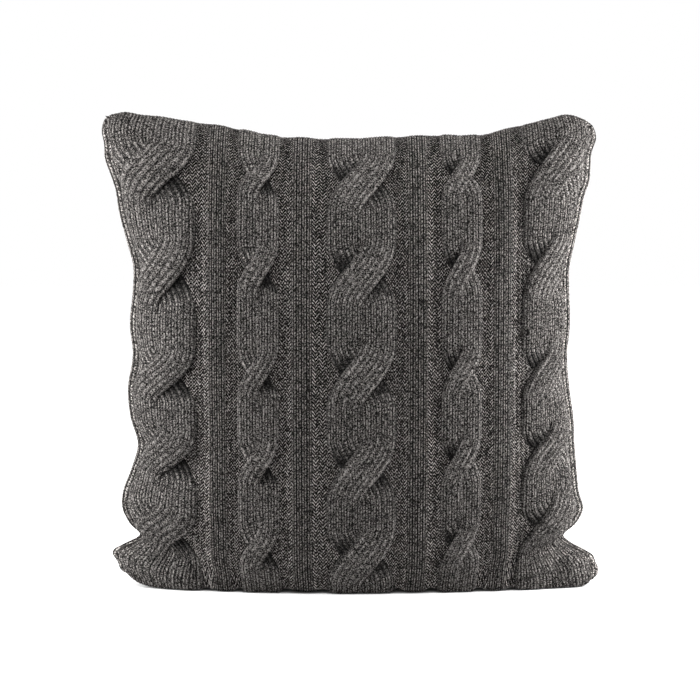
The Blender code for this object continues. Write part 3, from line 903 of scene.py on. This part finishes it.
def inner_strip(name, ends, side, near, far, floor, thickness, counts, waves):
    """A strip of cloth on the cover's inner face, as a closed sheet with its own thickness."""
    y = side * np.linspace(near, far, counts[0] + 1)
    x = np.linspace(*ends, counts[1] + 1)
    x, y = np.meshgrid(x, y, indexing="ij")
    made = grid_object(name, *counts)
    set_points(made, np.stack([x, y, floor + thickness / 2 + valley(x, y) + waves(x, y)], axis=-1))
    shape = bmesh.new()
    shape.from_mesh(made.data)
    bmesh.ops.recalc_face_normals(shape, faces=shape.faces)
    bmesh.ops.solidify(shape, geom=shape.faces, thickness=thickness)
    bmesh.ops.recalc_face_normals(shape, faces=shape.faces)
    shape.to_mesh(made.data)
    shape.free()
    return made


def rounded(shape, edges, radius, segments):
    bmesh.ops.bevel(shape, geom=edges, offset=radius, offset_type="OFFSET", segments=segments, profile=0.5,
                    affect="EDGES", material=-1)


def block(shape, size, place, taper=1.0, rounding=0.0002):
    """Adds a rounded block to a bmesh. taper is the width of its -X end, as a share."""
    verts = bmesh.ops.create_cube(shape, size=1.0)["verts"]
    bmesh.ops.scale(shape, vec=size, verts=verts)
    for vert in verts:
        if vert.co.x < 0:
            vert.co.y *= taper
    bmesh.ops.translate(shape, vec=place, verts=verts)
    edges = list({edge for vert in verts for edge in vert.link_edges})
    rounded(shape, edges, rounding, 2)


def from_shape(name, shape):
    mesh = bpy.data.meshes.new(name)
    bmesh.ops.recalc_face_normals(shape, faces=shape.faces)
    shape.to_mesh(mesh)
    shape.free()
    return placed(name, mesh)


# ---- seam, zip, insert and labels
def seam_cord():
    """Two plies of yarn twisted round each other, in the groove between the panels."""
    path = rim(400, (0.992, 1.0, 0.992))
    path = path[(np.abs(path[:, 0]) > SLOT_ENDS_AT - 0.006) | (path[:, 2] > MIDDLE)]
    fine = np.arange(0.0, lengths(path)[-1], CORD_STEP)
    path = along_line(path, fine)
    depth = np.array((0.0, 1.0, 0.0))
    out = unit(np.cross(unit(np.gradient(path, axis=0)), depth))
    plies = []
    for start in (0.0, np.pi):
        turn = (fine / CORD_TWIST * 2 * np.pi + start)[:, None]
        ply = path + (out * np.cos(turn) + depth * np.sin(turn)) * CORD_PLY_AT
        plies.append(strand_along(f"ply_{len(plies)}", ply, CORD_PLY, 6, depth))
    return joined("seam_cord", plies)


def stitch_row(name, path, normal, pitch, radius):
    """A running stitch: thread that comes up and goes down once in every pitch."""
    whole = lengths(path)[-1]
    fine = np.linspace(0.0, whole, int(whole / pitch) * 8 + 1)
    run = along_line(path, fine)
    lift = np.clip(np.cos(fine / pitch * 2 * np.pi) * 1.4 + 0.45, -0.8, 1.0) * radius * 1.3
    across = (0.0, 1.0, 0.0) if abs(normal[1]) < 0.5 else (0.03, 1.0, 0.02)
    return strand_along(name, run + np.array(normal) * lift[:, None], radius, 5, across)


def zip_coil(name, side):
    """One side of the zip: a wire of nylon wound into loops, whose heads lock between the other side's."""
    turns = COIL_HALF_LENGTH * 2 / COIL_PITCH
    turn = np.arange(0.0, turns - 0.5, 1 / 8) + (0.5 if side > 0 else 0.0)
    angle = turn * 2 * np.pi
    flat = np.cos(angle) * (1.0 + 0.18 * np.sin(angle) ** 2)
    y = side * (COIL_MIDDLE[0] + COIL_REACH[0] * flat)
    height = COIL_MIDDLE[1] + COIL_REACH[1] * np.sin(angle)
    path = np.stack([turn * COIL_PITCH - COIL_HALF_LENGTH, y, height], axis=-1)
    return strand_along(name, path, COIL_WIRE, 5, (1.0, 0.0, 0.0))


def zip_stop(name, x, y, wide):
    """A metal stop: two folded jaws clamped over the edge of a tape."""
    shape = bmesh.new()
    for jaw in (-0.00050, 0.00050):
        block(shape, (0.0009, wide, 0.0018), (x + jaw, y, COIL_MIDDLE[1]))
    block(shape, (0.0017, wide * 0.7, 0.0014), (x, y, COIL_MIDDLE[1]))
    return from_shape(name, shape)


def squared(wave, power):
    """A sine or cosine with fuller corners."""
    return np.sign(wave) * np.abs(wave) ** power


def slider_body():
    """Two tapered plates joined by a post, turned-up flanges beside the coil, and the bridge for the pull."""
    shape = bmesh.new()
    block(shape, (0.0090, 0.0068, 0.0013), (SLIDER_X, 0, 0.01555), 0.80, 0.00035)
    block(shape, (0.0086, 0.0052, 0.0012), (SLIDER_X, 0, 0.02070), 0.80, 0.00035)
    block(shape, (0.0018, 0.0006, 0.0052), (SLIDER_X + 0.0030, 0, 0.01810))
    block(shape, (0.0060, 0.0022, 0.0003), (SLIDER_X, 0, 0.02135), 1.0, 0.0001)
    for side in (-1, 1):
        block(shape, (0.0084, 0.0006, 0.0027), (SLIDER_X + 0.0002, side * 0.0029, 0.01700), 0.80, 0.00018)
    plates = from_shape("slider_plates", shape)
    turn = np.linspace(0.0, np.pi, 17)
    bow = np.stack([
        SLIDER_X + 0.00265 * squared(np.cos(turn), 0.55),
        np.zeros_like(turn),
        0.01540 - 0.00255 * np.sin(turn) ** 0.55,
    ], axis=-1)
    bridge = strand_along("slider_bridge_bow", bow, 0.00045, 10, (0.0, 1.0, 0.0))
    return joined("slider_body", [plates, bridge])


def pull_tab():
    """The pull: a link that hangs on the bridge, and a flat tab with a sunk face on each side."""
    turn = np.linspace(0.0, 2 * np.pi, 41)
    loop = np.stack([
        0.0027 - 0.0027 * squared(np.cos(turn), 0.6),
        0.0018 * squared(np.sin(turn), 0.6),
        np.zeros_like(turn),
    ], axis=-1)
    loop[-1] = loop[0]
    link = strand_along("pull_link", loop, 0.00038, 8, (0.0, 0.0, 1.0))
    shape = bmesh.new()
    bmesh.ops.create_cube(shape, size=1.0)
    bmesh.ops.scale(shape, vec=(0.0138, 0.0044, 0.0008), verts=shape.verts)
    upright = [e for e in shape.edges if abs(e.verts[0].co.z - e.verts[1].co.z) > 1e-5]
    rounded(shape, upright, 0.0014, 5)
    faces = [f for f in shape.faces if abs(f.normal.z) > 0.9]
    bmesh.ops.inset_individual(shape, faces=faces, thickness=0.00055, depth=0.0)
    bmesh.ops.inset_individual(shape, faces=faces, thickness=0.00012, depth=-0.00016)
    bmesh.ops.translate(shape, vec=(0.0121, 0.0, 0.0), verts=shape.verts)
    made = joined("pull_tab", [link, from_shape("pull_plate", shape)])
    points = get_points(made.data)
    slope = math.sqrt(0.5)
    set_points(made, np.stack([
        SLIDER_X - slope * points[:, 0] + slope * points[:, 2],
        points[:, 1],
        PIVOT_HEIGHT - slope * points[:, 0] - slope * points[:, 2],
    ], axis=-1))
    return made


# ---- building
def finish_piece(piece, material, slot, *solids, body="cushion"):
    piece.data.shade_smooth()
    piece.data.materials.clear()
    piece.data.materials.append(material)
    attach(piece, body)
    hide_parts(*solids)


groups = {"fibres": fibre_group(), "stitches": stitch_group(), "weave": weave_group(),
          "handled": handled_group()}
yarn = knit_material("charcoal heather yarn", (0.012, 0.0105, 0.010), (0.105, 0.095, 0.089),
                     (0.47, 0.44, 0.42))
seam_yarn = thread_material("charcoal seam yarn", (0.010, 0.009, 0.009), (0.10, 0.092, 0.086), 0.0007, 0.9)
tape_cloth = woven_material("charcoal twill tape", (0.016, 0.016, 0.017), (0.060, 0.059, 0.060), 0.0007, 0.8)
nylon = hard_material("charcoal nylon coil", (0.020, 0.020, 0.021), (0.050, 0.050, 0.052), 0.0, 0.30, 0.45)
nickel = hard_material("dark nickel plate", (0.18, 0.17, 0.165), (0.42, 0.41, 0.40), 1.0, 0.22, 0.40)
cotton_thread = thread_material("grey sewing thread", (0.05, 0.05, 0.05), (0.22, 0.21, 0.20), 0.0003, 0.7)
ticking = woven_material("white cotton ticking", (0.56, 0.55, 0.52), (0.84, 0.83, 0.80), 0.0008, 0.85,
                         0.6, 0.1)
fibre = thread_material("white polyester fibre", (0.60, 0.60, 0.59), (0.93, 0.93, 0.92), 0.0018, 0.95)
satin = woven_material("white satin ribbon", (0.66, 0.66, 0.64), (0.86, 0.86, 0.84), 0.0004, 0.38, 0.25, 0.2)

swell = cloth_swell()
front = Cloth(-1, swell[-1])
back = Cloth(1, swell[1])
front_knit = front_panel(front)
back_knit = back_panel(back)
for piece, solid in ((front_knit, "cover_front_panel"), (back_knit, "cover_back_panel")):
    finish_piece(piece, yarn, "cable_knit", solid)
finish_piece(seam_cord(), seam_yarn, "seam_yarn", "cover_seam_yarn")

for side, word in ((-1, "front"), (1, "back")):
    ends = (-TAPE_HALF_LENGTH, TAPE_HALF_LENGTH)
    tape = inner_strip("tape_" + word, ends, side, TAPE_FROM, TAPE_TO, TAPE_FLOOR, TAPE_THICKNESS, (12, 260),
                       lambda x, y: 0.00006 * np.sin(x / 0.0026 * 2 * np.pi))
    finish_piece(tape, tape_cloth, "zip_tape", "zip_tape_" + word)
    finish_piece(zip_coil("coil_" + word, side), nylon, "zip_coil", "zip_coil_" + word)
    x = np.linspace(*ends, 40)
    y = np.full_like(x, side * STITCH_ROW_AT)
    seam = np.stack([x, y, TAPE_FLOOR + TAPE_THICKNESS + valley(x, y)], axis=-1)
    row = stitch_row("tape_stitches_" + word, seam, (0, 0, 1), STITCH_PITCH, THREAD_RADIUS)
    finish_piece(row, cotton_thread, "thread", "zip_stitch_" + word)
    stop = zip_stop("top_stop_" + word, STOPS_AT, side * 0.0016, 0.0022)
    finish_piece(stop, nickel, "zip_metal", "zip_top_stop_" + word)
    insert = pad_side("insert_side_" + word, side, INSERT_SHARES, INSERT_CLEAR, 96, puckers)
    finish_piece(insert, ticking, "ticking", f"insert_{word}_panel")
stop = zip_stop("bottom_stop", -STOPS_AT, 0.0, 0.0054)
finish_piece(stop, nickel, "zip_metal", "zip_bottom_stop")
finish_piece(slider_body(), nickel, "zip_metal", "zip_slider", body="slider")
finish_piece(pull_tab(), nickel, "zip_metal", "zip_pull", body="pull")

insert_rim = rim(200, INSERT_SHARES, INSERT_CLEAR)
insert_seam = stitch_row("insert_seam", insert_rim, (0, -1, 0), 0.0034, THREAD_RADIUS)
finish_piece(insert_seam, cotton_thread, "thread", "insert_seam_thread")
sides = [pad_side(f"filling_{side}", side, FILLING_SHARES, FILLING_CLEAR, 72, lumps) for side in (-1, 1)]
filling = closed_up(joined("fibre_fill", sides))
finish_piece(filling, fibre, "fibre", "fibre_filling")

for name, solid, ends, side, knit in (
    ("care_ribbon", "care_label", (0.0905, 0.1245), 1, back_knit),
    ("insert_ribbon", "insert_label", (-0.1195, -0.0855), -1, front_knit),
):
    ribbon = inner_strip(name, ends, side, 0.0128, 0.0298, LABEL_FLOOR, LABEL_THICKNESS, (24, 30),
                         lambda x, y: 0.00025 * np.sin((x + 2 * np.abs(y)) / 0.012 * 2 * np.pi))
    finish_piece(ribbon, satin, "satin_label", solid)


# ---- studio
def softbox(name, place, target, size, power):
    data = bpy.data.lights.new(name, "AREA")
    data.shape = "RECTANGLE"
    data.size, data.size_y = size
    data.energy = power
    made = placed(name, data)
    made.location = place
    made.rotation_euler = (Vector(target) - Vector(place)).to_track_quat("-Z", "Y").to_euler()


def white_surroundings(ambient):
    """A world that looks white to the camera and lights the room softly."""
    world = bpy.data.worlds.new("studio")
    scene.world = world
    world.use_nodes = True
    tree = world.node_tree
    shine = tree.nodes["Background"]
    feed(tree, shine, Color=(1, 1, 1, 1))
    seen = node(tree, "ShaderNodeLightPath").outputs["Is Camera Ray"]
    strength = plus(tree, times(tree, seen, 1.0 - ambient), ambient)
    feed(tree, shine, Strength=strength)


def studio():
    floor = grid_object("floor", 2, 2)
    set_points(floor, get_points(floor.data) * 6.0)
    paper, tree, shader = new_material("white paper sweep", (PAPER, PAPER, PAPER), 0.8)
    seen = node(tree, "ShaderNodeLightPath").outputs["Is Camera Ray"]
    # painted contact shadow: the floor's glow, seen only by the camera, dims with its ambient occlusion near
    # the cushion
    contact_shadow_ao = node(tree, "ShaderNodeAmbientOcclusion", {"samples": 8}, Distance=CONTACT_REACH).outputs["AO"]
    glow = times(tree, maths(tree, "POWER", contact_shadow_ao, CONTACT_POWER), FLOOR_GLOW)
    feed(tree, shader, Emission_Color=(1, 1, 1, 1), Emission_Strength=times(tree, seen, glow))
    floor.data.materials.append(paper)
    white_surroundings(AMBIENT)
    for name, (place, size, power) in SOFTBOXES.items():
        softbox(name + " softbox", place, Vector((0, 0, TOP / 2)), size, power)

    data = bpy.data.cameras.new("camera")
    data.lens = CAMERA_LENS
    data.sensor_width = 36
    camera = placed("camera", data)
    azimuth, elevation = math.radians(CAMERA_AZIMUTH), math.radians(CAMERA_ELEVATION)
    away = Vector((math.sin(azimuth) * math.cos(elevation), -math.cos(azimuth) * math.cos(elevation),
                   math.sin(elevation)))
    camera.location = CAMERA_AIM + away * CAMERA_DISTANCE
    camera.rotation_euler = (-away).to_track_quat("-Z", "Y").to_euler()
    scene.camera = camera
    scene.view_settings.view_transform = "Standard"


studio()
